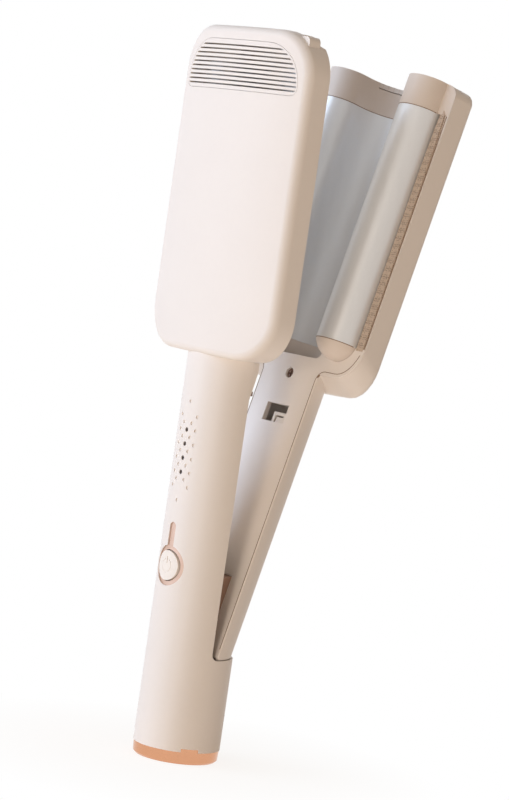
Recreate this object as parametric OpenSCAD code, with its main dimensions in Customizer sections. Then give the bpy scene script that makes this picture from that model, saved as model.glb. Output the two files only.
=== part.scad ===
// Deep-wave hair crimper: a round handle that carries a pillow-shaped head with one
// heated barrel, and a sprung lever whose head has the matching heated channel.
// Millimetres. Z runs up the handle's axis, X is the width of the heads, and the lever
// swings towards +Y. The origin is the centre of the foot ring's lower face.
// Lever pieces are drawn shut, parallel to the handle, then turned open by open_angle.

/* [Handle tube] */
// Outer diameter of the handle tube and of the lever's half tube that shuts on it
handle_d = 38.4; // [35:0.2:42]
// Wall of the moulded shells
wall = 2.2; // [1.8:0.1:2.6]
// Height of the mouth where the lever leaves the tube
mouth_z = 46.5; // [44:0.5:52]
// How far the flat back of the handle lies in front of the axis
cut_back = 2.5; // [2:0.1:4]
// Height of the polished foot ring
ring_h = 5.5; // [4:0.5:7]

/* [Heads] */
// Width of both heads
head_w = 86; // [84:0.5:88]
// Lower end of the handle's head
head_z = 178; // [174:1:182]
// Upper end of the handle's head
top_z = 320; // [310:1:330]
// How far the crowned faces of both heads stand out past the tubes
face_step = 1.8; // [1.6:0.1:2.6]
// How much further in the side edges of those faces lie than their middles
face_crown = 6.5; // [5.5:0.5:7]
// How far the back rim of the handle's head lies in front of the axis
rim_front = 3.3; // [2.8:0.1:4]
// Rounding of the outer edges of both heads
edge_r = 3; // [2.8:0.1:4]
// Corner radius of the handle's head
corner_r = 20; // [18:1:24]
// Upper corner radius of the lever's head
lever_top_r = 6; // [5:0.5:10]

/* [Heated wave] */
// Diameter of the handle's barrel
barrel_d = 31; // [29:0.2:32]
// How far the arc centres of the wave lie behind the axis
wave_y = 0.5; // [0:0.1:0.8]
// Hair gap between the two plates when the lever is shut
hair_gap = 1; // [0.8:0.1:1.2]
// Thickness of the coated aluminium plates
plate_t = 1.2; // [1:0.1:1.4]
// Height of the upper caps above the plates
top_cap_h = 14; // [12:0.5:18]

/* [Lever] */
// Lower end of the lever's head
lever_head_z = 176.5; // [174:0.5:178]
// How far the lever stands open at rest
open_angle = 14.8; // [12:0.2:16]
// Height of the hinge pin
hinge_z = 54.4; // [53:0.2:56]
// How far the hinge pin lies in front of the axis
hinge_front = 7; // [6.6:0.1:7.6]
// Diameter of the hinge pin
pin_d = 4; // [3:0.2:4.6]
// Width of the lever's hinge tongue
tongue_w = 19; // [16:0.5:20]

/* [Controls] */
// Height of the centre of the power button
button_z = 84.8; // [80:0.2:90]
// Diameter of the power button's cap
button_d = 13; // [12:0.5:14]
// Travel of the power button
button_travel = 0.6; // [0.4:0.1:0.8]
// Outer diameter of the keyhole bezel round the button
bezel_d = 17.6; // [16:0.2:19]
// Top of the bezel's narrow slot
bezel_top_z = 103.8; // [100:0.2:106]
// Width of the bezel's slot
slot_w = 4; // [3:0.2:4.4]
// Height of the lowest indicator light
light_z = 125.9; // [122:0.1:130]
// Spacing of the indicator lights
light_pitch = 6.2; // [5.6:0.1:6.6]
// Diameter of an indicator light
light_d = 2; // [1.4:0.1:2.2]

/* [Lock] */
// Width of the lock window in the lever's cover
window_w = 14.8; // [14:0.2:16]
// Lower edge of the lock window
window_z0 = 156.8; // [154:0.2:158]
// Upper edge of the lock window
window_z1 = 165.2; // [165:0.2:168]
// Travel of the lock slider
lock_travel = 3; // [2:0.5:3]

/* [Hidden] */

handle_r = handle_d / 2;
lever_r = handle_r;
half_w = head_w / 2;
rim_y = -rim_front;
hinge_y = -hinge_front;
seat = 0.05;                     // clearance of pieces that seat in one another
run_gap = 0.4;                   // clearance between pieces that move past one another
far = 60;                        // reach of cutting blocks past the object
eps = 1;                         // overlap of a cut past the face it opens
side_wall = 5;                   // from the wave's side edge to the head's side
barrel_r = barrel_d / 2;
groove_r = (half_w - side_wall - barrel_r) / 2;   // radius of the grooves beside the barrel
mid_r = barrel_r + hair_gap;     // radius of the lever's channel
hump_r = groove_r - hair_gap;    // radius of the lever's humps
wave_x = barrel_r + groove_r;    // distance of each hump from the middle
foot_lift = 5;                   // how much higher the lever head's inner rim starts
dome_web = 5;                    // width of the lever's cover below the humps' domes
dome_h = 7.5;                    // height of the domes that end the humps and the barrel
cover_z0 = lever_head_z + foot_lift + wall + run_gap;   // lower edge of that cover's wide part
plate_z0 = cover_z0 + dome_web + dome_h - 0.2;          // lower end of the plates
plate_z1 = top_z - top_cap_h;    // upper end of the plates
mid_y = wave_y + 0.2;            // centre of the middle arc
arc_steps = 20;                  // flats on each half turn of the wave
face_y = handle_r + face_step;   // front face of the handle's head, in front of the axis
// back face of the lever's head, behind the axis: it clears the channel inside it
back_y = max(lever_r + face_step, mid_y + mid_r + plate_t + run_gap + wall);
core_x = half_w - wall - seat;   // half width of what fits inside a head shell
edge_x = wave_x + hump_r;        // side edge of the lever's plate

// Points along an arc: from angle a0 to a1 about (cx, cy)
function arc(cx, cy, r, a0, a1) = [for (i = [0:arc_steps]) let (a = a0 + (a1 - a0) * i / arc_steps)
    [cx + r * cos(a), cy + r * sin(a)]];
// The wave from +X to -X: the side arcs dip to -Y, the middle arc rises to +Y
function wave(side_r, middle_r) = concat(
    arc(wave_x, wave_y, side_r, 0, -180),
    arc(0, mid_y, middle_r, 0, 180),
    arc(-wave_x, wave_y, side_r, 0, -180));
function flip(points) = [for (i = [len(points) - 1:-1:0]) points[i]];

module block(x0, x1, y0, y1, z0, z1) {
    translate([x0, y0, z0]) cube([x1 - x0, y1 - y0, z1 - z0]);
}

// A round bar along Y from y0 to y1
module bar_y(r, x, y0, y1, z) {
    translate([x, y0, z]) rotate([-90, 0, 0]) cylinder(r = r, h = y1 - y0, $fn = 48);
}

// A round bar along X, centred on x = 0
module bar_x(r, w, y, z) {
    translate([-w / 2, y, z]) rotate([0, 90, 0]) cylinder(r = r, h = w, $fn = 48);
}

// A rounded rectangle seen from the front: r0 at its lower corners, r1 at its upper ones
module outline(w, z0, z1, r0, r1) {
    translate([-w / 2, z0 + r0]) square([w, z1 - z0 - r0 - r1]);
    translate([-w / 2 + r0, z0]) square([w - 2 * r0, r0 + eps]);
    translate([-w / 2 + r1, z1 - r1 - eps]) square([w - 2 * r1, r1 + eps]);
    for (s = [-1, 1]) {
        translate([s * (w / 2 - r0), z0 + r0]) circle(r = r0, $fn = 64);
        translate([s * (w / 2 - r1), z1 - r1]) circle(r = r1, $fn = 64);
    }
}

// A shape seen from the front, as a prism along Y
module front_prism(y0, y1) {
    translate([0, y1, 0]) rotate([90, 0, 0]) linear_extrude(y1 - y0) children();
}

// Stations across half an outline of half width h with corners of radius r
corner_steps = 6;
function across(h, r) = concat([for (i = [0:2]) (h - r) * i / 3],
    [for (i = [0:corner_steps]) h - r + r * sin(90 * i / corner_steps)]);
// How far such a corner draws in at x
function draw_in(x, h, r) = x > h - r ? r - sqrt(max(0, r * r - pow(x - h + r, 2))) : 0;

// A head's pillow: flat at y_rim, its far face crowned to y_face, with edges rounded by e.
// The lower edge of the flat side starts lift higher than the rest.
module pillow(w, z0, z1, y_rim, y_face, r0, r1, e, lift) {
    way = sign(y_face - y_rim);
    reach = w / 2 - e;
    function y_at(x) = y_face - way * (e + face_crown * pow(x / half_w, 2));
    hull() for (s = [-1, 1]) {
        translate([s * (w / 2 - r0), y_rim, z0 + r0 + lift]) rotate([-90 * way, 0, 0])
            cylinder(r = r0, h = 0.5, $fn = 48);
        translate([s * (w / 2 - r1), y_rim, z1 - r1]) rotate([-90 * way, 0, 0])
            cylinder(r = r1, h = 0.5, $fn = 48);
        for (x = across(reach, r0 - e))
            translate([s * x, y_at(x), z0 + e + draw_in(x, reach, r0 - e)]) sphere(r = e, $fn = 16);
        for (x = across(reach, r1 - e))
            translate([s * x, y_at(x), z1 - e - draw_in(x, reach, r1 - e)]) sphere(r = e, $fn = 16);
    }
}

// What fits behind a head's crowned face: a prism along Z with the crown's curve. way is the
// side that the face lies on.
crown_bow = (half_w * half_w + face_crown * face_crown) / (2 * face_crown);
module behind_crown(y_face, way) {
    translate([0, y_face - way * crown_bow, 0])
        cylinder(r = crown_bow - wall - run_gap, h = far * 9, $fn = 256);
}

// The ball whose lower part is the shallow dome that ends a round of radius r
function dome_r(r) = (r * r + dome_h * dome_h) / (2 * dome_h);
module dome(r) {
    intersection() {
        translate([0, 0, dome_r(r) - dome_h]) sphere(r = dome_r(r), $fn = 96);
        translate([0, 0, -far]) cylinder(r = far, h = far, $fn = 48);
    }
}

// The section between the wave and a flat at y_flat, with a lip at lip_y beside it
module wave_section(side_r, middle_r, y_flat, x_end, lip_y) {
    x_lip = wave_x + side_r;
    polygon(concat([[x_end, y_flat], [x_end, lip_y], [x_lip, wave_y + 0.8]], wave(side_r, middle_r),
        [[-x_lip, wave_y + 0.8], [-x_end, lip_y], [-x_end, y_flat]]));
}

// A section of a head, as a prism along Z
module upright(z0, z1) {
    translate([0, 0, z0]) linear_extrude(z1 - z0) children();
}

// Puts a piece drawn on the shut lever where the open lever holds it
module on_lever() {
    translate([0, hinge_y, hinge_z]) rotate([-open_angle, 0, 0])
        translate([0, -hinge_y, -hinge_z]) children();
}

// ---- Handle -------------------------------------------------------------------

spigot_r = handle_r - wall - seat;   // the tube's neck inside the head
bore_r = handle_r - wall;            // the tube's hollow
spigot_h = 6;                        // how far the full tube and its neck each reach into the head
spigot_z = head_z + spigot_h;
tube_top = spigot_z + spigot_h;
step_h = 5;                          // height of the step inside the tube, from bore to neck
neck_z = head_z - 0.6;               // upper end of the flat back cover
tongue_h = 39.5;                     // how far the lever's tongue reaches above the mouth
tongue_top = mouth_z + tongue_h;
back_z = tongue_top + 6.5;           // lower end of the flat back cover
notch_r = 3;                         // rounding at the foot of the cut-away
cap_h = 7;                           // depth of the plug that carries the foot ring
bezel_r = bezel_d / 2;
bezel_floor = handle_r - 2.6;        // how far from the axis the bezel's seat lies
button_r = button_d / 2;
well_r = button_r + run_gap;         // the button's well
flange_r = button_r + 1.2;           // the flange that keeps the button in
key_turn = 70;                       // where the foot ring's key sits, from the front
key_w = 8;
key_h = 1.5;
light_r = light_d / 2;
board_y = -handle_r + 8.2;           // front face of the control board
board_t = 1.6;
switch_w = 6;                        // width of the button's switch
switch_h = 0.4;                      // how far the switch stands off the board
parts_gap = 1.3;                     // from the board's parts to the back cover's lip
dimple_turn = 16;                    // where the outer rows of dimples sit, in degrees

module tube_body() {
    difference() {
        union() {
            translate([0, 0, ring_h]) cylinder(r = handle_r, h = spigot_z - ring_h, $fn = 96);
            translate([0, 0, spigot_z - eps]) cylinder(r = spigot_r, h = tube_top - spigot_z + eps, $fn = 96);
        }
        translate([0, 0, ring_h - eps])
            cylinder(r = bore_r, h = spigot_z - ring_h - step_h / 2, $fn = 96);
        translate([0, 0, spigot_z - step_h]) cylinder(r = spigot_r - wall, h = far, $fn = 96);
    }
}

// The keyhole outline of the bezel, as a prism out of the front; grow widens it
module keyhole(grow, y0, y1) {
    bar_y(bezel_r + grow, 0, y0, y1, button_z);
    block(-slot_w / 2 - grow, slot_w / 2 + grow, y0, y1, button_z, bezel_top_z - slot_w / 2);
    bar_y(slot_w / 2 + grow, 0, y0, y1, bezel_top_z - slot_w / 2);
}

// Dimples round the lights: [degrees from the front, light pitches above the lowest light]
dimples = concat(
    [for (s = [-1, 1], k = [-1:4]) [s * dimple_turn, k]],
    [for (s = [-1, 1], k = [-0.5:1:3.5]) [s * dimple_turn / 2, k]],
    [[0, -2], [0, 5]]);

module handle_tube() {
    color("#efe4da") difference() {
        tube_body();
        // the back is cut away above the mouth, with rounded feet
        block(-far, far, -cut_back, far, mouth_z + notch_r, far * 9);
        block(-far, far, -cut_back + notch_r, far, mouth_z, mouth_z + notch_r + eps);
        translate([-far, -cut_back + notch_r, mouth_z + notch_r]) rotate([0, 90, 0])
            cylinder(r = notch_r, h = 2 * far, $fn = 48);
        // the bezel's seat, the button's well and the windows of the lights
        keyhole(seat, -far, -bezel_floor);
        bar_y(well_r, 0, -far, board_y, button_z);
        for (k = [0:3]) bar_y(light_r, 0, -far, board_y, light_z + k * light_pitch);
        for (d = dimples) rotate([0, 0, d[0]])
            bar_y(light_r * 0.8, 0, -far, -handle_r + 0.5, light_z + d[1] * light_pitch);
        // the seat of the foot ring's key
        rotate([0, 0, key_turn]) block(-key_w / 2, key_w / 2, -far, -handle_r + 1.2, 0, ring_h + key_h);
    }
}

face_edge = corner_r - wall + run_gap;   // corner radius of what fits inside the cover
vent_side = 5.4;                     // from the head's side to the vent panel
vent_w = head_w - 2 * vent_side;
vent_top = 6;                        // from the head's top to the vent panel
vent_z1 = top_z - vent_top;
vent_h = 21.8;
vent_count = 10;
vent_pitch = 1.9;
vent_slot = 0.8;
vent_t = 1;                          // thickness of the vent panel
vent_z0 = vent_z1 - vent_h;
vent_low_r = 4;                      // its lower corners
vent_top_r = 18;                     // its upper corners
ear_x = half_w - 5.6;                // half width of the upper corner ears
ear_z = top_z - 1.8;
ear_w = 14;
ear_h = 12;
ear_r = 2.5;
ear_y0 = wave_y - groove_r - 1.9;    // front face of the frames and the ears
ear_y1 = ear_y0 + 6;
wire_w = 16;                         // openings for the wires through the frames
wire_h = 8;

// The vent panel seen from the front: tight lower corners, wide upper ones
module vent_shape(inset) {
    intersection() {
        outline(vent_w - 2 * inset, vent_z0 + inset, vent_z1 + far, vent_low_r - inset, vent_low_r - inset);
        outline(vent_w - 2 * inset, vent_z0 - far, vent_z1 - inset, vent_top_r - inset, vent_top_r - inset);
    }
}

module face_pillow(inset) {
    pillow(head_w - 2 * inset, head_z + inset, top_z - inset, rim_y + inset, -face_y + inset,
        corner_r - inset, corner_r - inset, edge_r - inset, 0);
}

// The upper corner ears of the barrel's frame; grow makes their slot in the cover
module ears(grow) {
    for (s = [-1, 1]) translate([s * (ear_x - ear_w / 2), 0, 0])
        front_prism(ear_y0 - grow, ear_y1 + grow)
            outline(ear_w + 2 * grow, ear_z - ear_h - grow, ear_z + grow, ear_r + grow, ear_r + grow);
}

module head_cover() {
    color("#f1ece6") difference() {
        face_pillow(0);
        face_pillow(wall);
        block(-core_x - seat, core_x + seat, rim_y - eps / 2, far, head_z + corner_r, top_z - corner_r);
        // the tube passes through the lower wall, its neck fits inside
        intersection() {
            translate([0, 0, head_z - eps])
                cylinder(r = handle_r + seat, h = spigot_z - head_z + eps + seat, $fn = 96);
            block(-far, far, -far, -cut_back + seat, 0, far * 9);
        }
        // the wave runs out through the upper wall
        for (s = [-1, 1]) translate([s * wave_x, wave_y, plate_z1]) cylinder(r = groove_r, h = far, $fn = 64);
        ears(seat);
        // seat of the vent panel and the opening behind it
        difference() {
            front_prism(-far, -edge_r) vent_shape(0);
            face_pillow(vent_t + seat);
        }
        front_prism(-far, -edge_r) vent_shape(2);
    }
}

module vent_grille() {
    color("#efe6dc") difference() {
        intersection() {
            face_pillow(0);
            front_prism(-far, -edge_r) vent_shape(seat);
        }
        face_pillow(vent_t);
        for (k = [0:vent_count - 1]) intersection() {
            front_prism(-far, -edge_r) vent_shape(1.6);
            translate([0, 0, vent_z0 + 1.7 + k * vent_pitch]) block(-far, far, -far, 0, 0, vent_slot);
        }
    }
}

// The handle's back: a crowned cover between the lever's tongue and the head
crown_r = 31.5;
lip_t = 2;                           // thickness of the cover's lip inside the tube
wing_h = 16;                         // height of the wings that stand up below the head
wing_y = 0.3;                        // how far behind the axis the wings reach
wing_w = 3;                          // width of a wing

module tube_back_cover() {
    color("#ecdfd3") difference() {
        union() {
            intersection() {
                translate([0, -crown_r, back_z]) cylinder(r = crown_r, h = neck_z - back_z, $fn = 128);
                translate([0, 0, back_z]) cylinder(r = handle_r, h = neck_z - back_z, $fn = 96);
                block(-far, far, -cut_back + seat, far, back_z, neck_z);
            }
            intersection() {
                translate([0, 0, back_z]) cylinder(r = spigot_r, h = neck_z - back_z, $fn = 96);
                block(-far, far, -cut_back - lip_t, -cut_back + eps, back_z, neck_z);
            }
            // a wing along each side, below the head
            intersection() {
                cylinder(r = handle_r, h = neck_z, $fn = 96);
                for (x = [-handle_r, handle_r - wing_w]) translate([x, 0, 0]) rotate([90, 0, 90])
                    linear_extrude(wing_w) polygon([[-cut_back + seat, neck_z - wing_h],
                        [wing_y, neck_z - wing_h / 4], [wing_y, neck_z], [-cut_back + seat, neck_z]]);
            }
        }
        // the lock slider's way
        block(hook_x0 - run_gap, hook_x1 + run_gap, -far, far,
            hook_z0 - lock_travel - run_gap, hook_z1 + run_gap);
    }
}

// The barrel's side of the wave: the lands beside the grooves end at the rim, and between
// the grooves it reaches back to y1
module barrel_section(y1) {
    intersection() {
        wave_section(groove_r, barrel_r - seat, ear_y0, core_x, rim_y);
        union() {
            translate([-core_x, -far]) square([2 * core_x, far + rim_y - seat]);
            translate([-wave_x, -far]) square([2 * wave_x, far + y1]);
        }
    }
}

module barrel_frame() {
    core_z = top_z - wall - run_gap;
    color("#eee2d6") difference() {
        union() {
            // upper cap inside the cover, and its part behind the cover's rim
            intersection() {
                upright(plate_z1 + seat, core_z) barrel_section(far);
                front_prism(-far, far) outline(2 * core_x, head_z, core_z, face_edge, face_edge);
                behind_crown(-face_y, -1);
            }
            intersection() {
                upright(core_z - eps, top_z) barrel_section(far);
                block(-far, far, rim_y + seat, far, 0, far * 9);
            }
            difference() {
                ears(0);
                for (s = [-1, 1]) translate([s * wave_x, wave_y, head_z])
                    cylinder(r = groove_r + seat, h = far * 9, $fn = 96);
            }
            // lower cap, its barrel ends in a dome
            intersection() {
                upright(head_z + wall + seat, plate_z0 - seat) barrel_section(rim_y - seat);
                front_prism(-far, far) outline(2 * core_x, head_z + wall + seat, top_z, face_edge, face_edge);
                behind_crown(-face_y, -1);
            }
            intersection() {
                translate([0, mid_y, plate_z0 - seat]) dome(barrel_r - seat);
                block(-far, far, rim_y - eps, far, 0, far * 9);
            }
        }
        // the tube's neck and the wires pass here
        difference() {
            union() {
                cylinder(r = spigot_r + seat, h = tube_top + seat, $fn = 96);
                cylinder(r = handle_r + seat, h = spigot_z + seat, $fn = 96);
            }
            block(-far, far, seat - cut_back, far, -far, far * 9);
        }
        for (z = [tube_top - eps, plate_z1 - eps])
            block(-wire_w / 2, wire_w / 2, ear_y0 - eps, ear_y0 + wire_h, z, z + wire_h);
    }
}

// The coated plate on the handle: one barrel between two grooves
module barrel_plate() {
    color("#a9a7a5") intersection() {
        upright(plate_z0, plate_z1) intersection() {
            polygon(concat(wave(groove_r, barrel_r), flip(wave(groove_r + plate_t, barrel_r - plate_t))));
            union() {
                translate([-wave_x, -far]) square([2 * wave_x, 2 * far]);
                translate([-core_x, -far]) square([2 * core_x, far + rim_y - seat]);
            }
        }
        front_prism(-far, far) outline(2 * core_x, head_z + wall, top_z - wall - seat, face_edge, face_edge);
    }
}

heater_inset = 12;                   // how far the heaters stop short of the plates' ends

module barrel_heater() {
    z0 = plate_z0 + heater_inset;
    z1 = plate_z1 - heater_inset;
    color("#d9d4c6") intersection() {
        translate([0, mid_y, z0]) cylinder(r = barrel_r - plate_t - seat, h = z1 - z0, $fn = 64);
        block(-far, far, mid_y + 1, far, z0, z1);
    }
}

module button_bezel() {
    color("#cfa58f") difference() {
        intersection() {
            keyhole(0, -far, -bezel_floor);
            cylinder(r = handle_r - 0.5, h = far * 9, $fn = 96);
        }
        bar_y(well_r, 0, -far, 0, button_z);
    }
}

mark_r = 3.2;                        // outer radius of the power mark
mark_w = 0.6;                        // line width of the power mark
mark_y = -handle_r - 0.1;            // floor of the mark
flange_y = -bore_r + 2.2;            // front face of the button's flange
flange_t = 1;
stem_r = 1.5;

module power_button() {
    color("#f6f1ec") difference() {
        union() {
            intersection() {
                bar_y(button_r, 0, -far, flange_y + flange_t / 2, button_z);
                cylinder(r = handle_r + 0.4, h = far * 9, $fn = 96);
            }
            bar_y(flange_r, 0, flange_y, flange_y + flange_t, button_z);
            bar_y(stem_r, 0, flange_y, board_y - switch_h - run_gap - button_travel, button_z);
        }
        // the power mark: an open ring and a bar
        difference() {
            bar_y(mark_r, 0, -far, mark_y, button_z);
            bar_y(mark_r - mark_w, 0, -far, 0, button_z);
            block(-1.3, 1.3, -far, 0, button_z, button_z + 2 * mark_r);
        }
        block(-mark_w / 2, mark_w / 2, -far, mark_y, button_z + 1, button_z + mark_r + 0.6);
    }
}

module indicator_lights() {
    color("#2b241f") for (k = [0:3])
        bar_y(light_r - seat, 0, -handle_r + 0.4, board_y - seat, light_z + k * light_pitch);
}

module control_board() {
    edge = sqrt(bore_r * bore_r - board_y * board_y) - 0.1;
    color("#3c6b4a") union() {
        block(-edge, edge, board_y, board_y + board_t, button_z - 3 * switch_w, light_z + 4.2 * light_pitch);
        translate([0, 0, button_z]) block(-switch_w / 2, switch_w / 2, board_y - switch_h,
            board_y + board_t / 2, -switch_w / 2, switch_w / 2);
        // the row of parts on the board's back
        block(-switch_w, switch_w, board_y + board_t / 2, lip_y - parts_gap, back_z + 2 * switch_w,
            light_z - switch_w);
    }
}

ear_t = 3;                           // thickness of the hinge bracket's cheeks
cheek_x = tongue_w / 2 + run_gap;    // inner face of a cheek
bracket_h = 14;                      // depth of the hinge bracket below the mouth
floor_z = mouth_z - bracket_h;
cheek_y = -bore_r + 3;               // front edge of the cheeks
floor_t = 3;
wire_r = 5;                          // hole for the wires in the floor

// The bracket that carries the hinge pin across the tube
module hinge_bracket() {
    color("#d8cfc4") difference() {
        intersection() {
            cylinder(r = bore_r - seat, h = far * 9, $fn = 96);
            union() {
                for (s = [-1, 1]) translate([s * (cheek_x + ear_t / 2), 0, 0]) {
                    block(-ear_t / 2, ear_t / 2, cheek_y, far, floor_z, mouth_z - eps);
                    block(-ear_t / 2, ear_t / 2, cheek_y, -cut_back - run_gap, floor_z, hinge_z + knuckle_r);
                }
                block(-far, far, -far, far, floor_z, floor_z + floor_t);
            }
        }
        bar_x(pin_d / 2, 4 * handle_r, hinge_y, hinge_z);
        translate([0, 0, floor_z - eps]) cylinder(r = wire_r, h = floor_t + 2 * eps, $fn = 48);
    }
}

module hinge_pin() {
    color("#b9bcc0") bar_x(pin_d / 2, 2 * (cheek_x + ear_t), hinge_y, hinge_z);
}

spring_wire = 1;
spring_w = 7;                        // room for the spring's coil between the knuckles

// The coil of the spring that pushes the lever open, round the pin
module hinge_spring() {
    color("#9a9da1") difference() {
        bar_x(pin_d / 2 + seat + spring_wire, spring_w - 1, hinge_y, hinge_z);
        bar_x(pin_d / 2 + seat, spring_w, hinge_y, hinge_z);
    }
}

ring_bore = handle_r - 3.6;

module base_ring() {
    color("#d99a74") difference() {
        union() {
            rotate_extrude($fn = 96) polygon([[ring_bore - 1, 0], [handle_r - 1.4, 0],
                [handle_r - 0.5, 0.9], [handle_r - 0.2, ring_h - seat], [ring_bore - 1, ring_h - seat]]);
            intersection() {
                rotate([0, 0, key_turn]) block(-key_w / 2 + seat, key_w / 2 - seat, -far,
                    -handle_r + 1.2 - seat, ring_h - eps, ring_h + key_h - seat);
                cylinder(r = handle_r - 0.2, h = far, $fn = 96);
            }
        }
        translate([0, 0, -eps]) cylinder(r = ring_bore, h = far, $fn = 96);
    }
}

bush_r = 6.5;
cord_bore_r = 3.6;
bush_z = ring_h + cap_h - 2;         // underside of the bush's flange

module base_cap() {
    color("#eadfd4") difference() {
        union() {
            translate([0, 0, 0.6]) cylinder(r = ring_bore - seat, h = ring_h, $fn = 96);
            translate([0, 0, ring_h + seat]) cylinder(r = bore_r - seat, h = cap_h, $fn = 96);
        }
        translate([0, 0, -eps]) cylinder(r = bush_r + 0.08, h = far, $fn = 64);
        translate([0, 0, bush_z]) cylinder(r = bush_r + 2.4, h = far, $fn = 64);
    }
}

// The swivel bush that the cord's sleeve is pressed into
module cord_bush() {
    color("#8d8379") difference() {
        union() {
            translate([0, 0, 0.2]) cylinder(r = bush_r, h = bush_z + 1, $fn = 64);
            translate([0, 0, bush_z + 0.1]) cylinder(r = bush_r + 2, h = 1.8, $fn = 64);
        }
        translate([0, 0, -eps]) cylinder(r = cord_bore_r, h = far, $fn = 64);
    }
}

// ---- Lock slider: its hook drops behind the keeper in the lever's window ---------

keeper_x = -1;                       // side of the keeper that the hook's stem passes
keeper_h = 4.7;
keeper_back = 7;
hook_x0 = -3;
hook_tip_x = 6.4;                    // far side of the hook's tip
hook_x1 = keeper_x - 0.4;            // the stem passes beside the keeper
hook_z0 = window_z0 + keeper_h + run_gap;
hook_dip = 0.9;                      // how far the window dips as it swings past the hook
hook_z1 = window_z1 - run_gap - hook_dip;
hook_y = keeper_back + 0.6;          // front of the hook's tip
lip_y = -cut_back - lip_t;           // inner face of the back cover

hook_t = 1.8;
slide_w = 12;                        // the slider's plate behind the back cover
slide_t = 2.7;

module lock_slider() {
    slide_y = lip_y - 0.3;
    color("#b98f78") union() {
        block(hook_x0, hook_x1, slide_y - slide_t, hook_y + hook_t, hook_z0, hook_z1);
        block(hook_x0, hook_tip_x, hook_y, hook_y + hook_t, hook_z0, hook_z1);
        block(-slide_w / 2, slide_w / 2, slide_y - slide_t, slide_y, hook_z0, hook_z1);
    }
}

// ---- Lever ----------------------------------------------------------------------

cover_face_y = 2.1;      // front face of the lever's inner cover
cover_lip = 0.6;         // thickness of the cover's lip over the shell's rim
shell_rim_y = cover_face_y + cover_lip + seat;
cover_t = 2.4;           // thickness of the lever's inner cover
lip_in = 0.2;            // how far the lip's edge lies inside the shell's
lever_bottom_r = 15;
lever_top_z = top_z;
lever_neck_z = lever_head_z + 12;    // where the half tube ends inside the head
recess_z = plate_z0 - dome_h - run_gap;   // lower end of the channel
cap_y = 8;                        // back of the upper cap's face
rail_t = 6;                       // thickness of the rails beside the lever's plate
open_gap = 0.4;                   // gap between the open lever's foot and the mouth
tongue_front = -7;
tongue_r = 12;                    // rounding of the tongue's upper end
knuckle_r = 5;
screw_z = lever_head_z + 3.4;
screw_r = 1.2;
screw_h = 10.6;                   // how deep the screw's tip lies behind the cover's face
screw_head_r = 2.3;
boss_r = 3.5;

module lever_pillow(inset, rim) {
    pillow(head_w - 2 * inset, lever_head_z + inset, lever_top_z - inset, shell_rim_y - rim, back_y - inset,
        lever_bottom_r - inset, lever_top_r - inset, edge_r - inset, foot_lift);
}

module lever_shell() {
    color("#dcc6ae") difference() {
        on_lever() union() {
            difference() {
                union() {
                    lever_pillow(0, 0);
                    cylinder(r = lever_r, h = lever_neck_z, $fn = 96);
                }
                lever_pillow(wall, 0.1);
                cylinder(r = lever_r - wall, h = lever_neck_z + eps, $fn = 96);
                block(-far, far, -far, shell_rim_y, -far, far * 9);
                // the cap and the channel open the top
                block(-core_x - seat, core_x + seat, -far, cap_y + seat, plate_z0, far * 9);
                translate([0, mid_y, plate_z1]) cylinder(r = mid_r, h = far, $fn = 64);
            }
            // the boss of the cover's screw
            difference() {
                bar_y(boss_r, 0, cover_face_y + cover_t + seat, lever_r - wall / 2, screw_z);
                bar_y(screw_r + seat, 0, 0, cover_face_y + screw_h + eps, screw_z);
            }
        }
        // the foot is cut level with the open mouth
        block(-far, far, -far, far, -far, mouth_z + open_gap);
    }
}

// The lever's inner cover, from the tongue to the foot of the wave
module lever_cover() {
    cover_x = sqrt(pow(lever_r - wall, 2) - pow(cover_face_y + cover_t, 2)) - seat;
    lip_x = sqrt(pow(lever_r, 2) - pow(shell_rim_y, 2)) - lip_in;
    rim_z0 = lever_head_z + foot_lift + lip_in;
    neck_z1 = cover_z0 + dome_web;
    color("#f3ece6") difference() {
        on_lever() difference() {
            union() {
                // the lip lies on the shell's rim, the rest fits inside its walls
                front_prism(cover_face_y, cover_face_y + cover_lip) {
                    translate([-lip_x, 0]) square([2 * lip_x, neck_z1]);
                    outline(head_w - 2 * lip_in, rim_z0, plate_z0 + eps, lever_bottom_r - lip_in, eps);
                }
                front_prism(cover_face_y + cover_lip / 2, cover_face_y + cover_t) {
                    translate([-cover_x, 0]) square([2 * cover_x, neck_z1]);
                    outline(2 * core_x, cover_z0, plate_z0 + eps, lever_bottom_r - wall, eps);
                }
            }
            front_prism(-far, far) {
                translate([-far, plate_z0]) square([2 * far, far]);
                for (s = [-1, 1]) translate([s * wave_x, plate_z0 + dome_r(hump_r) - dome_h])
                    circle(r = dome_r(hump_r) + seat, $fn = 96);
                outline(2 * mid_r, recess_z, plate_z0 + far, 3, eps);
                translate([-window_w / 2, window_z0]) square([window_w, window_z1 - window_z0]);
                translate([0, screw_z]) circle(r = screw_head_r + 0.1, $fn = 48);
                translate([-tongue_w / 2 - seat, 0]) square([tongue_w + 2 * seat, tongue_top]);
            }
        }
        block(-far, far, -far, far, -far, mouth_z + 1.2);
    }
}

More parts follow.
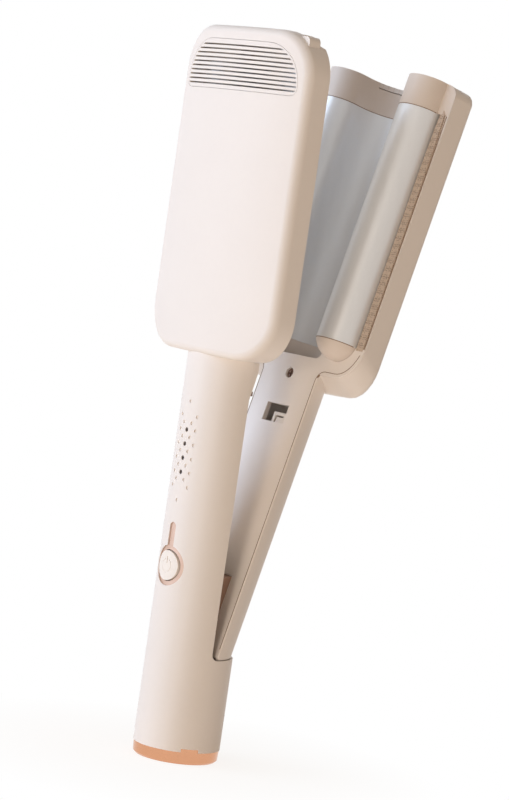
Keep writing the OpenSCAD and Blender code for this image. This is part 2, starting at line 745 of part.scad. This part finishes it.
// The tongue that reaches from the lever into the tube and turns on the pin
module hinge_tongue() {
    tongue_back = cover_face_y + cover_t;
    color("#cdb49d") on_lever() difference() {
        union() {
            bar_x(knuckle_r, tongue_w, hinge_y, hinge_z);
            block(-tongue_w / 2, tongue_w / 2, tongue_front, tongue_back, hinge_z, tongue_top - tongue_r);
            intersection() {
                bar_x(tongue_r, tongue_w, tongue_front + tongue_r, tongue_top - tongue_r);
                block(-far, far, tongue_front, tongue_back, tongue_top - tongue_r - eps, tongue_top);
            }
            intersection() {
                cylinder(r = lever_r - wall - seat, h = tongue_top, $fn = 96);
                block(-tongue_w / 2, tongue_w / 2, tongue_back - eps, far, mouth_z + tongue_w / 2,
                    tongue_top - tongue_w / 2);
            }
        }
        bar_x(pin_d / 2 + seat, 4 * handle_r, hinge_y, hinge_z);
        bar_x(knuckle_r + eps, spring_w, hinge_y, hinge_z);
    }
}

module lever_cover_screw() {
    head_y = cover_face_y + 1;
    color("#6d5a4e") on_lever() difference() {
        union() {
            bar_y(screw_head_r, 0, head_y, cover_face_y + cover_t, screw_z);
            bar_y(screw_r, 0, head_y, cover_face_y + screw_h, screw_z);
        }
        for (turn = [0, 90]) translate([0, 0, screw_z]) rotate([0, turn, 0])
            block(-0.35, 0.35, 0, head_y + 0.8, -1.8, 1.8);
    }
}

// The white keeper in the lower corner of the window
module latch_keeper() {
    x1 = window_w / 2 - seat;
    z0 = window_z0 + seat;
    color("#fbf8f4") on_lever() difference() {
        block(keeper_x, x1, cover_face_y + 0.3, keeper_back, z0, window_z0 + keeper_h);
        block(keeper_x + 1.4, keeper_x + 2.6, 0, keeper_back - 1, z0 - eps, z0 + 3.2);
        block(keeper_x + 1.4, x1 - 1.2, 0, keeper_back - 1, z0 + 2.4, z0 + 3.2);
    }
}

// What fits inside the lever's crowned head shell
module lever_core(z0) {
    intersection() {
        front_prism(-far, far) outline(2 * core_x, z0, lever_top_z - wall - run_gap,
            lever_bottom_r - wall + run_gap, lever_top_r - wall + run_gap);
        behind_crown(back_y, 1);
    }
}

module channel_frame() {
    cover_back = cover_face_y + cover_t + seat;
    color("#eee2d6") on_lever() union() {
        // upper cap: its face is flush with the shell's end
        intersection() {
            upright(plate_z1 + seat, lever_top_z) wave_section(hump_r, mid_r, far, half_w, shell_rim_y);
            union() {
                lever_core(recess_z);
                front_prism(-far, cap_y) outline(2 * core_x, plate_z0, lever_top_z, eps, lever_top_r - wall);
                front_prism(-far, shell_rim_y - seat)
                    outline(head_w, plate_z0, lever_top_z, eps, lever_top_r);
                // behind the channel the cap fills the shell's opening
                intersection() {
                    translate([0, mid_y, plate_z1]) cylinder(r = mid_r - seat, h = far, $fn = 64);
                    block(-far, far, 0, back_y - wall - run_gap, plate_z1, lever_top_z);
                }
            }
        }
        // lower cap: domes in front of the cover, the channel runs out between them
        intersection() {
            upright(recess_z, plate_z0 - seat) wave_section(hump_r, mid_r, far, core_x, wave_y);
            lever_core(cover_z0);
            union() {
                block(-far, far, cover_back, far, 0, far * 9);
                for (s = [-1, 1]) translate([s * wave_x, wave_y, plate_z0 - seat]) dome(hump_r);
            }
        }
        // rails beside the plate
        for (s = [-1, 1]) translate([s * (core_x + edge_x + seat) / 2, 0, 0])
            block(-(core_x - edge_x - seat) / 2, (core_x - edge_x - seat) / 2, cover_back,
                cover_back + rail_t, plate_z0 - eps, plate_z1 + eps);
    }
}

// The coated plate on the lever: one channel between two humps, with straight side legs
module channel_plate() {
    leg_y = wave_y + 3;
    inner_x = edge_x - plate_t;
    color("#a9a7a5") on_lever() upright(plate_z0, plate_z1)
        polygon(concat([[edge_x, leg_y]], wave(hump_r, mid_r), [[-edge_x, leg_y], [-inner_x, leg_y]],
            flip(wave(hump_r - plate_t, mid_r + plate_t)), [[inner_x, leg_y]]));
}

module channel_heaters() {
    z0 = plate_z0 + heater_inset;
    z1 = plate_z1 - heater_inset;
    color("#d9d4c6") on_lever() for (s = [-1, 1]) intersection() {
        translate([s * wave_x, wave_y, z0]) cylinder(r = hump_r - plate_t - seat, h = z1 - z0, $fn = 64);
        block(-far, far, -far, wave_y - 1, z0, z1);
    }
}

handle_tube();
head_cover();
vent_grille();
tube_back_cover();
barrel_frame();
barrel_plate();
barrel_heater();
button_bezel();
indicator_lights();
control_board();
hinge_bracket();
hinge_pin();
hinge_spring();
base_ring();
base_cap();
lever_shell();
lever_cover();
channel_frame();
channel_plate();
channel_heaters();
hinge_tongue();
latch_keeper();
lever_cover_screw();
lock_slider();
power_button();
cord_bush();
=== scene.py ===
# Deep-wave hair crimper: a round handle with a pillow-shaped head and one heated barrel, and
# a sprung lever whose head carries the matching channel. Metres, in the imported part's frame.
import math

import bmesh
import bpy
from mathutils import Matrix, Vector


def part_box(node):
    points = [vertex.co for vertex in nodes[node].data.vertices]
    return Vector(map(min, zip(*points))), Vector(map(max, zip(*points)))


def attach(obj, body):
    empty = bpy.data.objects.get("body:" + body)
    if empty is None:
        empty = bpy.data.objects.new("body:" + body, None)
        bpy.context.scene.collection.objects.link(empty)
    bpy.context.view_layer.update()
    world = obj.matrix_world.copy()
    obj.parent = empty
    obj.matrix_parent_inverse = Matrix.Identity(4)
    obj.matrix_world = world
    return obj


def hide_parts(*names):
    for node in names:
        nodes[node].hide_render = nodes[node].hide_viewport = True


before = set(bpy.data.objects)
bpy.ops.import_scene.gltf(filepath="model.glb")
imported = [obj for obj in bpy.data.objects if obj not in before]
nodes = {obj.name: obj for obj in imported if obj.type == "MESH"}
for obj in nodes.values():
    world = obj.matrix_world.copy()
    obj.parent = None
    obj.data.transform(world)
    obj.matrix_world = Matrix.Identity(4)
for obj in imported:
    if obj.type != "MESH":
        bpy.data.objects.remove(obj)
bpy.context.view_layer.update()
scene = bpy.context.scene
mm = 0.001

# ---- Camera, light and floor ------------------------------------------------------------
# A long lens from the front right, a little above, with the camera leaning so that the crimper
# stands at a slant. A large cool soft box from the front left, a weak one above, a small warm one
# from the front, and a warm fill.
view_turn = math.radians(50.5)
view_rise = math.radians(3.9)
view_lean = math.radians(8.2)
view_aim = Vector((0, 0, 0.165))
view_distance = 1.29
view_shift = (0.0117, -0.0062)       # how far the aim lies left of and above the picture's centre

away = Vector((math.sin(view_turn) * math.cos(view_rise), -math.cos(view_turn) * math.cos(view_rise),
               math.sin(view_rise)))
level = Vector((math.cos(view_turn), math.sin(view_turn), 0))
upward = away.cross(level)
cam_right = level * math.cos(view_lean) + upward * math.sin(view_lean)
cam_up = upward * math.cos(view_lean) - level * math.sin(view_lean)
lens = bpy.data.cameras.new("camera")
lens.sensor_width = 36
lens.lens = 132.9
camera = bpy.data.objects.new("camera", lens)
scene.collection.objects.link(camera)
place = view_aim + away * view_distance + cam_right * view_shift[0] + cam_up * view_shift[1]
camera.matrix_world = Matrix.Translation(place) @ Matrix((cam_right, cam_up, away)).transposed().to_4x4()
scene.camera = camera
scene.view_settings.view_transform = "Standard"


def lamp(name, toward, size, distance, power, colour):
    """A square soft box that shines from that direction on the middle of the crimper."""
    light = bpy.data.lights.new(name, "AREA")
    light.size = size
    light.energy = power
    light.color = colour
    box = bpy.data.objects.new(name, light)
    direction = Vector(toward).normalized()
    box.matrix_world = (Matrix.Translation(view_aim + direction * distance)
                        @ direction.to_track_quat("Z", "Y").to_matrix().to_4x4())
    scene.collection.objects.link(box)


lamp("key", (-0.62, -1, 0.4), 1.5, 2.2, 34.8, (0.623, 0.775, 1))
lamp("top_light", (0.1, -0.2, 1), 1.2, 1.8, 4, (1, 0.96, 0.92))
lamp("low_front", (0.5, -1, 0.0), 0.3, 1.2, 3, (1, 0.86, 0.70))


class Wire:
    """One output of a node tree. Plain arithmetic on wires and numbers adds Math nodes."""

    def __init__(self, tree, socket):
        self.tree, self.socket = tree, socket

    def math(self, kind, a, b):
        return add_node(self.tree, "ShaderNodeMath", {"operation": kind}, {0: a, 1: b})

    def __add__(self, other):
        return self.math("ADD", self, other)

    def __mul__(self, other):
        return self.math("MULTIPLY", self, other)

    def __truediv__(self, other):
        return self.math("DIVIDE", self, other)

    def __rsub__(self, other):
        return self.math("SUBTRACT", other, self)

    def __lt__(self, other):
        return self.math("LESS_THAN", self, other)

    def clamp(self):
        return self.math("MINIMUM", self.math("MAXIMUM", self, 0), 1)

    __radd__, __rmul__ = __add__, __mul__


def add_node(tree, kind, settings=None, inputs=None, out=0):
    """Adds a node with its settings and inputs, which are values or wires. Returns one output."""
    node = tree.nodes.new(kind)
    for key, value in (settings or {}).items():
        setattr(node, key, value)
    for key, value in (inputs or {}).items():
        if isinstance(value, Wire):
            tree.links.new(value.socket, node.inputs[key])
        else:
            node.inputs[key].default_value = value
    return Wire(tree, node.outputs[out]) if len(node.outputs) else None


def blend_colours(tree, factor, a, b):
    return add_node(tree, "ShaderNodeMix", {"data_type": "RGBA"}, {0: factor, 6: a, 7: b}, out=2)


# the room is white to look at and warm as a fill, so shaded plastic turns to sand
fill_colour = (0.225, 0.165, 0.115, 1)
world = bpy.data.worlds.new("studio")
world.use_nodes = True
scene.world = world
tree = world.node_tree
tree.nodes.clear()


def background_rays(tree):
    """1 for the rays that see the white background: from the camera, off gloss and through glass."""
    camera_ray = add_node(tree, "ShaderNodeLightPath", out="Is Camera Ray")
    glossy_ray = add_node(tree, "ShaderNodeLightPath", out="Is Glossy Ray")
    clear_ray = add_node(tree, "ShaderNodeLightPath", out="Is Transmission Ray")
    return (camera_ray + glossy_ray + clear_ray).clamp()


room = blend_colours(tree, background_rays(tree), fill_colour, (1, 1, 1, 1))
sky = add_node(tree, "ShaderNodeBackground", inputs={"Color": room, "Strength": 1.0})
add_node(tree, "ShaderNodeOutputWorld", inputs={"Surface": sky})

# white paper that takes the shadow close to the foot, and itself glows a little warm light up onto the
# crimper: painted bounce light
floor_w = 6.0
floor_drop = 0.2 * mm                 # keeps the paper clear of the foot ring
paper_colour = (0.9, 0.86, 0.82, 1)
floor_glow_colour = (1, 0.80, 0.62, 1)
floor_glow_strength = 0.35
shadow_reach = 0.12
shadow_share = 0.22
floor_mesh = bpy.data.meshes.new("floor")
floor_mesh.from_pydata([(x * floor_w, y * floor_w, 0) for x, y in ((-1, -1), (1, -1), (1, 1), (-1, 1))],
                       [], [(0, 1, 2, 3)])
floor = bpy.data.objects.new("floor", floor_mesh)
scene.collection.objects.link(floor)
floor.location.z = -floor_drop
paper = bpy.data.materials.new("paper")
paper.use_nodes = True
tree = paper.node_tree
tree.nodes.clear()
where = add_node(tree, "ShaderNodeTexCoord", out="Object")
reach = add_node(tree, "ShaderNodeVectorMath", {"operation": "LENGTH"}, {0: where}, out="Value")
near = (1 - reach / shadow_reach).clamp()
glow = add_node(tree, "ShaderNodeEmission", inputs={"Color": (1, 1, 1, 1), "Strength": 1.0})
matt = add_node(tree, "ShaderNodeBsdfDiffuse", inputs={"Color": paper_colour})
# painted bounce light: the paper glows warm for the rays that leave the crimper, though it is no lamp
floor_glow = add_node(tree, "ShaderNodeEmission", inputs={"Color": floor_glow_colour, "Strength": floor_glow_strength})
matt = add_node(tree, "ShaderNodeAddShader", inputs={0: matt, 1: floor_glow})
lit = background_rays(tree) * (1 - near * shadow_share)
surface = add_node(tree, "ShaderNodeMixShader", inputs={0: lit, 1: matt, 2: glow})
add_node(tree, "ShaderNodeOutputMaterial", inputs={"Surface": surface})
floor_mesh.materials.append(paper)

# ---- Handle tube ------------------------------------------------------------------------
# The grip: one injection-moulded tube in satin cream plastic, with its dimples, the seat of the
# button's bezel and the mouth for the lever, and the crowned cover that closes its cut-away back.


def material_of(name, constants):
    """A new material with its shader's constant values set. Returns it, its tree and its shader."""
    material = bpy.data.materials.new(name)
    material.use_nodes = True
    shader = material.node_tree.nodes["Principled BSDF"]
    for key, value in constants.items():
        shader.inputs[key].default_value = value
    return material, material.node_tree, shader


def feed(tree, shader, **wires):
    for key, wire in wires.items():
        tree.links.new(wire.socket, shader.inputs[key.replace("_", " ")])


def noise(tree, scale, detail=3):
    where = add_node(tree, "ShaderNodeTexCoord", out="Object")
    return add_node(tree, "ShaderNodeTexNoise", inputs={"Vector": where, "Scale": scale, "Detail": detail})


def bump(tree, height, depth, strength):
    inputs = {"Height": height, "Distance": depth, "Strength": strength}
    return add_node(tree, "ShaderNodeBump", inputs=inputs)


def plastic(name, colour, roughness=0.46, mottle=0.012, texture=0.10, dots=None):
    """Satin moulded plastic: a faint mottle, or small dark dots, and a fine spark-eroded grain."""
    material, tree, shader = material_of(name, {"IOR": 1.46, "Specular IOR Level": 0.35})
    speck = noise(tree, 420)
    dark = tuple(c * (1 - 4 * mottle) for c in colour) + (1,)
    light = tuple(min(1, c * (1 + 2 * mottle)) for c in colour) + (1,)
    if dots:
        where = add_node(tree, "ShaderNodeTexCoord", out="Object")
        spot = add_node(tree, "ShaderNodeTexVoronoi", {"voronoi_dimensions": "3D"},
                        {"Vector": where, "Scale": 1100, "Randomness": 0.3})
        tone = blend_colours(tree, (spot < 0.40) * 0.75, colour + (1,), dots + (1,))
    else:
        tone = blend_colours(tree, noise(tree, 28, 2) * 0.7 + speck * 0.3, dark, light)
    feed(tree, shader, Base_Color=tone,
         Roughness=roughness - 0.05 + speck * 0.10, Normal=bump(tree, noise(tree, 2600), 0.05 * mm, texture))
    return material


def paint(node, material, crease=28):
    """Gives a carried-over solid its material and smooth shading between its sharp edges."""
    solid = nodes[node]
    solid.data.materials.clear()
    solid.data.materials.append(material)
    for polygon in solid.data.polygons:
        polygon.use_smooth = True
    weld = solid.modifiers.new("weld", "WELD")
    weld.merge_threshold = 0.003 * mm
    split = solid.modifiers.new("edges", "EDGE_SPLIT")
    split.split_angle = math.radians(crease)
    weighted = solid.modifiers.new("normals", "WEIGHTED_NORMAL")
    weighted.keep_sharp = True
    return solid


cream = plastic("cream_plastic", (0.84, 0.79, 0.745))
paint("handle_tube", cream)
paint("tube_back_cover", cream)

# ---- Handle's head ------------------------------------------------------------------------
# A deep moulded cover with a crowned face, tight round edges and a slotted vent panel near its
# top. It clips over the barrel's frame.
head_low, head_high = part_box("head_cover")
half_w = head_high.x
head_z, top_z = head_low.z, head_high.z
face_y = -head_low.y                  # how far the faces of both heads stand from the axis
rim_y = head_high.y
crown = 6.5 * mm                      # how much further in the side edges lie than the middle
wall = 2.2 * mm
edge_r = 3.4 * mm
corner_r = 20 * mm
tube_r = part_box("handle_tube")[1].x


def rounded_loop(half, z0, z1, r0, r1, corner_steps=14, across=10, up=18):
    """Points (x, z) round a rectangle with corners r0 below and r1 above, from the lower right on."""
    points = []
    corners = [(half - r0, z0 + r0, r0, -90), (half - r1, z1 - r1, r1, 0),
               (r1 - half, z1 - r1, r1, 90), (r0 - half, z0 + r0, r0, 180)]
    for k, (x, z, r, turn) in enumerate(corners):
        for i in range(corner_steps + 1):
            a = math.radians(turn + 90 * i / corner_steps)
            points.append((x + r * math.cos(a), z + r * math.sin(a)))
        next_x, next_z, next_r, next_turn = corners[(k + 1) % 4]
        a = math.radians(next_turn)
        end = (next_x + next_r * math.cos(a), next_z + next_r * math.sin(a))
        steps = up if k % 2 == 0 else across
        start = points[-1]
        for i in range(1, steps):
            points.append(tuple(p + (q - p) * i / steps for p, q in zip(start, end)))
    return points


def pillow_rings(way, inset, half, z0, z1, r0, r1, rim, face):
    """Rings of a head's pillow from its rim, over the rounded edge, to the middle of its crowned face."""
    e = edge_r - inset

    def loop(d):
        return rounded_loop(half - inset - d, z0 + inset + d, z1 - inset - d,
                            max(r0 - inset - d, 0.3 * mm), max(r1 - inset - d, 0.3 * mm))

    def skin(x):
        return face - inset - crown * (x / half) ** 2

    rings = [[(x, way * rim, z) for x, z in loop(0)]]
    for k in range(9):
        a = math.radians(90 * k / 8)
        drop = e * (1 - math.sin(a))
        rings.append([(x, way * (skin(x) - drop), z) for x, z in loop(e * (1 - math.cos(a)))])
    middle = (z0 + z1) / 2
    flat = [(x, z) for x, z in loop(e)]
    for k in range(1, 12):
        t = 1 - k / 12
        rings.append([(x * t, way * skin(x * t), middle + (z - middle) * t) for x, z in flat])
    return rings, (0, way * skin(0), middle)


def piece_of(name, vertices, faces, material):
    """A new smooth-shaded mesh object with its faces turned outwards."""
    mesh = bpy.data.meshes.new(name)
    mesh.from_pydata(vertices, [], faces)
    shape = bmesh.new()
    shape.from_mesh(mesh)
    bmesh.ops.recalc_face_normals(shape, faces=shape.faces)
    shape.to_mesh(mesh)
    shape.free()
    mesh.materials.append(material)
    for polygon in mesh.polygons:
        polygon.use_smooth = True
    piece = bpy.data.objects.new(name, mesh)
    scene.collection.objects.link(piece)
    return piece


def skin_rings(rings):
    """Vertices and quads of a sheet through rings of equal length."""
    n = len(rings[0])
    vertices = [point for ring in rings for point in ring]
    spans = len(rings) - 1
    faces = []
    for i in range(spans):
        here, there = i * n, (i + 1) * n
        faces += [(here + j, here + (j + 1) % n, there + (j + 1) % n, there + j) for j in range(n)]
    return vertices, faces


def pillow_shell(name, way, half, z0, z1, r0, r1, rim, face, material):
    """A hollow head shell of even wall, open at its rim."""
    outer, outer_middle = pillow_rings(way, 0, half, z0, z1, r0, r1, rim, face)
    inner, inner_middle = pillow_rings(way, wall, half, z0, z1, r0, r1, rim, face)
    n = len(outer[0])
    rings = outer[::-1] + inner
    vertices, faces = skin_rings(rings)
    vertices += [outer_middle, inner_middle]
    faces += [(j, (j + 1) % n, len(vertices) - 2) for j in range(n)]
    last = (len(rings) - 1) * n
    faces += [(last + j, last + (j + 1) % n, len(vertices) - 1) for j in range(n)]
    return piece_of(name, vertices, faces, material)


def prism_y(name, outline, y0, y1, material):
    """A prism along Y over an outline of (x, z) points."""
    n = len(outline)
    vertices = [(x, y, z) for y in (y0, y1) for x, z in outline]
    faces = [tuple(range(n)), tuple(range(n, 2 * n))]
    faces += [(j, (j + 1) % n, n + (j + 1) % n, n + j) for j in range(n)]
    return piece_of(name, vertices, faces, material)


def bake_modifiers(piece):
    """Applies the modifiers of a piece to its mesh."""
    bpy.context.view_layer.update()
    solid = bpy.data.meshes.new_from_object(piece.evaluated_get(bpy.context.evaluated_depsgraph_get()))
    piece.modifiers.clear()
    piece.data = solid


def cut(piece, *cutters, kind="DIFFERENCE"):
    """Takes the cutters out of a piece, or joins or keeps them, and deletes them."""
    for cutter in cutters:
        step = piece.modifiers.new("cut", "BOOLEAN")
        step.operation = kind
        step.solver = "EXACT"
        step.object = cutter
    bake_modifiers(piece)
    for cutter in cutters:
        bpy.data.objects.remove(cutter)


def crease(piece, angle=30):
    """Keeps the edges sharper than angle sharp, and shades the rest by its larger faces."""
    piece.data.shade_smooth()
    piece.data.set_sharp_from_angle(angle=math.radians(angle))
    weighted = piece.modifiers.new("normals", "WEIGHTED_NORMAL")
    weighted.keep_sharp = True


def bar_z(name, radius, x, y, z0, z1, material, sides=96):
    circle = [(radius * math.cos(2 * math.pi * k / sides), radius * math.sin(2 * math.pi * k / sides))
              for k in range(sides)]
    vertices = [(x + u, y + v, z) for z in (z0, z1) for u, v in circle]
    faces = [tuple(range(sides)), tuple(range(sides, 2 * sides))]
    faces += [(j, (j + 1) % sides, sides + (j + 1) % sides, sides + j) for j in range(sides)]
    return piece_of(name, vertices, faces, material)


# the vent panel's outline: tight lower corners, wide upper ones
vent_low, vent_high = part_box("vent_grille")
vent_half = vent_high.x + 0.05 * mm
vent_z0, vent_z1 = vent_low.z - 0.05 * mm, vent_high.z + 0.05 * mm
vent_low_r, vent_top_r = 3.4 * mm, 18 * mm
vent_seam = 0.16 * mm
vent_count = 10
vent_pitch = 1.9 * mm
vent_slot = 0.68 * mm


def vent_outline(inset):
    return rounded_loop(vent_half - inset, vent_z0 + inset, vent_z1 - inset,
                        vent_low_r - inset, vent_top_r - inset)


hair_x, hair_y, groove_r = 26.75 * mm, 0.5 * mm, 11.25 * mm
ear_low_y, ear_high_y = hair_y - groove_r - 1.9 * mm, hair_y - groove_r + 4.1 * mm
head = pillow_shell("head_shell", -1, half_w, head_z, top_z, corner_r, corner_r, -rim_y, face_y, cream)
cutters = [bar_z("tube_way", tube_r + 0.1 * mm, 0, 0, head_z - mm, head_z + 8 * mm, cream),
           prism_y("vent_way", vent_outline(0), -0.03, -8 * mm, cream)]
cutters += [bar_z("groove_way", groove_r, s * hair_x, hair_y, top_z - 10 * mm, top_z + mm, cream)
            for s in (-1, 1)]
for s in (-1, 1):
    ear = [(s * half_w * 0.87 - s * (7 * mm) + x, z) for x, z in
           rounded_loop(7.1 * mm, top_z - 13.9 * mm, top_z - 1.7 * mm, 2.6 * mm, 2.6 * mm, 6, 2, 2)]
    cutters.append(prism_y("ear_way", ear, ear_low_y - 0.1 * mm, ear_high_y + 0.1 * mm, cream))
cut(head, *cutters)
crease(head)
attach(head, "handle")
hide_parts("head_cover")

grille = pillow_shell("vent_panel", -1, half_w, head_z, top_z, corner_r, corner_r, -rim_y, face_y, cream)
cut(grille, prism_y("panel_outline", vent_outline(vent_seam), -0.03, -8 * mm, cream), kind="INTERSECT")
slots = []
for k in range(vent_count):
    z = vent_z0 + 1.75 * mm + k * vent_pitch
    slots.append(prism_y("slot", [(-0.05, z), (0.05, z), (0.05, z + vent_slot), (-0.05, z + vent_slot)],
                         -0.03, -8 * mm, cream))
    cut(slots[-1], prism_y("slot_ends", vent_outline(0.9 * mm), -0.035, -7 * mm, cream), kind="INTERSECT")
cut(grille, *slots)
crease(grille)
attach(grille, "handle")
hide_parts("vent_grille")

# ---- Barrel -------------------------------------------------------------------------------
# A coated aluminium plate, one barrel between two grooves, held by a plastic frame with caps at
# both ends. A half-round heater fills the barrel.


def metal(name, colour, roughness):
    """Plated or bare metal with a fine brushed grain."""
    material, tree, shader = material_of(name, {"Metallic": 1.0})
    speck = noise(tree, 700)
    dark = tuple(c * 0.95 for c in colour) + (1,)
    feed(tree, shader, Base_Color=blend_colours(tree, speck, dark, colour + (1,)),
         Roughness=roughness - 0.04 + speck * 0.08, Normal=bump(tree, noise(tree, 3200), 0.04 * mm, 0.08))
    return material


def coating(name, colour):
    """A satin ceramic coat, a little metallic, with faint streaks along the plate's length."""
    material, tree, shader = material_of(name, {"Metallic": 0.3, "IOR": 1.5, "Specular IOR Level": 0.5})
    where = add_node(tree, "ShaderNodeTexCoord", out="Object")
    drawn = add_node(tree, "ShaderNodeMapping", inputs={"Vector": where, "Scale": (260, 260, 5)})
    streak = add_node(tree, "ShaderNodeTexNoise", inputs={"Vector": drawn, "Scale": 1, "Detail": 2})
    speck = noise(tree, 900)
    dark = tuple(c * 0.95 for c in colour) + (1,)
    light = tuple(min(1, c * 1.04) for c in colour) + (1,)
    feed(tree, shader, Base_Color=blend_colours(tree, streak * 0.7 + speck * 0.3, dark, light),
         Roughness=0.40 + streak * 0.06 + speck * 0.04, Normal=bump(tree, noise(tree, 3200), 0.03 * mm, 0.08))
    return material


coated = coating("coated_plate", (0.77, 0.78, 0.79))
sand = plastic("sand_plastic", (0.62, 0.47, 0.36))
paint("barrel_frame", cream)
paint("barrel_plate", coated)
paint("barrel_heater", sand)

# ---- Button and lights ------------------------------------------------------------------
# A white push button with an engraved power mark, in a rose-gold keyhole bezel, and four smoked
# light pipes above it on the board.
white_plastic = plastic("white_plastic", (0.88, 0.83, 0.77))
smoked = plastic("smoked_lens", (0.045, 0.03, 0.025), roughness=0.25)
board_green = plastic("board_green", (0.035, 0.075, 0.045))
bezel_rose = metal("bezel_rose", (0.66, 0.46, 0.37), 0.32)
paint("power_button", white_plastic)
paint("button_bezel", bezel_rose)
paint("indicator_lights", smoked)
paint("control_board", board_green)

# ---- Foot ---------------------------------------------------------------------------------
# A polished rose-gold ring round a plastic cap, with the swivel bush for the cord's sleeve.
rose = metal("rose_metal", (0.74, 0.38, 0.22), 0.18)
rubber = plastic("bush_rubber", (0.10, 0.08, 0.07), roughness=0.6)
paint("base_ring", rose)
paint("base_cap", sand)
paint("cord_bush", rubber)

# ---- Lever --------------------------------------------------------------------------------
# A half-tube shell that widens into the second head, closed by a thin inner cover that is held
# by one screw, with the lock's keeper in its window.
brown = plastic("brown_plastic", (0.23, 0.15, 0.115))
steel = metal("steel", (0.6, 0.6, 0.6), 0.3)
# a lighter copy of the cream plastic for the inner cover: painted light in place of the shade the handle's
# head casts on it
painted_light_cream = plastic("painted_light_cream", (0.95, 0.90, 0.86))
paint("lever_shell", cream)
paint("lever_cover", painted_light_cream)
paint("lever_cover_screw", brown)
paint("latch_keeper", white_plastic)
paint("lock_slider", brown)

# ---- Channel -------------------------------------------------------------------------------
# The lever's coated plate, one channel between two humps, in its plastic frame, over two
# half-round heaters.
warm_cream = plastic("warm_cream", (0.79, 0.71, 0.645))
paint("channel_frame", warm_cream)
paint("channel_plate", coated)
paint("channel_heaters", sand)
hinge_at = Vector((0, -7 * mm, 54.4 * mm))
open_angle = math.radians(14.8)
opened = (Matrix.Translation(hinge_at) @ Matrix.Rotation(-open_angle, 4, "X")
          @ Matrix.Translation(-hinge_at))
hump_r, mid_r, mid_y = 10.25 * mm, 16.5 * mm, 0.7 * mm
plate_z0, plate_z1 = 196.4 * mm, 306 * mm
seam_half = 0.17 * mm                 # half the width of the joints across the plate
seam_sunk, seam_proud = 0.15 * mm, 0.05 * mm
seal = plastic("seam_brown", (0.30, 0.20, 0.14), roughness=0.6)
beige = plastic("strip_beige", (0.64, 0.53, 0.44), roughness=0.55, dots=(0.30, 0.22, 0.17))


def on_lever(piece):
    """Turns a piece that was made for the closed lever to its open rest, and lets it ride there."""
    piece.data.transform(opened)
    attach(piece, "lever")


def arc_points(x, y, r, start, end, steps=48):
    turns = [math.radians(start + (end - start) * k / steps) for k in range(steps + 1)]
    return [(x + r * math.cos(a), y + r * math.sin(a)) for a in turns]


def bead(name, sections, material):
    """A thin closed bead through cross-sections of four points each."""
    vertices, faces = skin_rings(sections)
    last = len(vertices) - 4
    faces += [(0, 1, 2, 3), (last, last + 1, last + 2, last + 3)]
    piece = piece_of(name, vertices, faces, material)
    crease(piece)
    on_lever(piece)


def joint_seam(name, arcs, z):
    """The dark joint that runs over the coated plate where a plastic cap meets it."""
    under = [p for x, y, r, way, a, b in arcs for p in arc_points(x, y, r - way * seam_sunk, a, b)]
    over = [p for x, y, r, way, a, b in arcs for p in arc_points(x, y, r + way * seam_proud, a, b)]
    low, high = z - seam_half, z + seam_half
    bead(name, [[(*u, low), (*o, low), (*o, high), (*u, high)] for u, o in zip(under, over)], seal)


def round_path(points, times=3):
    """Cuts the corners of a path until it runs smoothly."""
    for _ in range(times):
        path = [points[0]]
        for (x0, z0), (x1, z1) in zip(points, points[1:]):
            path.append((0.75 * x0 + 0.25 * x1, 0.75 * z0 + 0.25 * z1))
            path.append((0.25 * x0 + 0.75 * x1, 0.25 * z0 + 0.75 * z1))
        points = path + [points[-1]]
    return points


hump_arcs = [(s * hair_x, hair_y, hump_r, 1, 180, 360) for s in (-1, 1)]
joint_seam("upper_seam", [hump_arcs[0], (0, mid_y, mid_r, -1, 180, 0), hump_arcs[1]], plate_z1)
for side, arcs in (("left", hump_arcs[0]), ("right", hump_arcs[1])):
    joint_seam("lower_seam_" + side, [arcs], plate_z0)
# the cover's joint: up the neck, a small hollow round, along the shoulder, a wide bend, up the side
neck_x, seam_foot_z = 18.3 * mm, 54 * mm
neck_r = 5 * mm
shoulder_z = 183.4 * mm
side_x = 41.9 * mm
bend_w, bend_h = 12.5 * mm, 16 * mm
strip_top = 305.5 * mm
quarter = [math.radians(90 * k / 12) for k in range(13)]
for side, s in (("left", -1), ("right", 1)):
    strip = [(37.45, 195.5), (37.45, 305), (39.5, 309), (41.7, 305), (41.7, 195.5)]
    path = round_path([(x * s * mm, z * mm) for x, z in strip], 2)
    piece = prism_y("side_strip_" + side, path, 1.9 * mm, 3.0 * mm, beige)
    crease(piece)
    on_lever(piece)
    seam = [(neck_x, seam_foot_z)]
    seam += [(neck_x + neck_r * (1 - math.cos(t)), shoulder_z - neck_r * (1 - math.sin(t)))
             for t in quarter]
    seam += [(side_x - bend_w * (1 - math.sin(t)), shoulder_z + bend_h * (1 - math.cos(t)))
             for t in quarter]
    seam += [(side_x, strip_top)]
    path = [(x * s, z) for x, z in seam]
    sections = []
    for k, (x, z) in enumerate(path):
        before, after = path[max(k - 1, 0)], path[min(k + 1, len(path) - 1)]
        along = (Vector(after) - Vector(before)).normalized() * 0.14 * mm
        proud = (2.0 if x * s < 41 * mm else 2.55) * mm
        sections.append([(x - along.y, proud, z + along.x), (x + along.y, proud, z - along.x),
                         (x + along.y, 2.9 * mm, z - along.x), (x - along.y, 2.9 * mm, z + along.x)])
    bead("cover_seam_" + side, sections, seal)

# ---- Hinge ---------------------------------------------------------------------------------
# The lever's tongue turns on a steel pin between the cheeks of a bracket inside the tube, and a
# coil spring pushes it open.
# the tongue is given the tan that the cream lever plastic takes in shade: painted shade
paint("hinge_tongue", plastic("tongue_painted_shade_tan", (0.42, 0.27, 0.20)))
paint("hinge_bracket", sand)
paint("hinge_pin", steel)
paint("hinge_spring", steel)
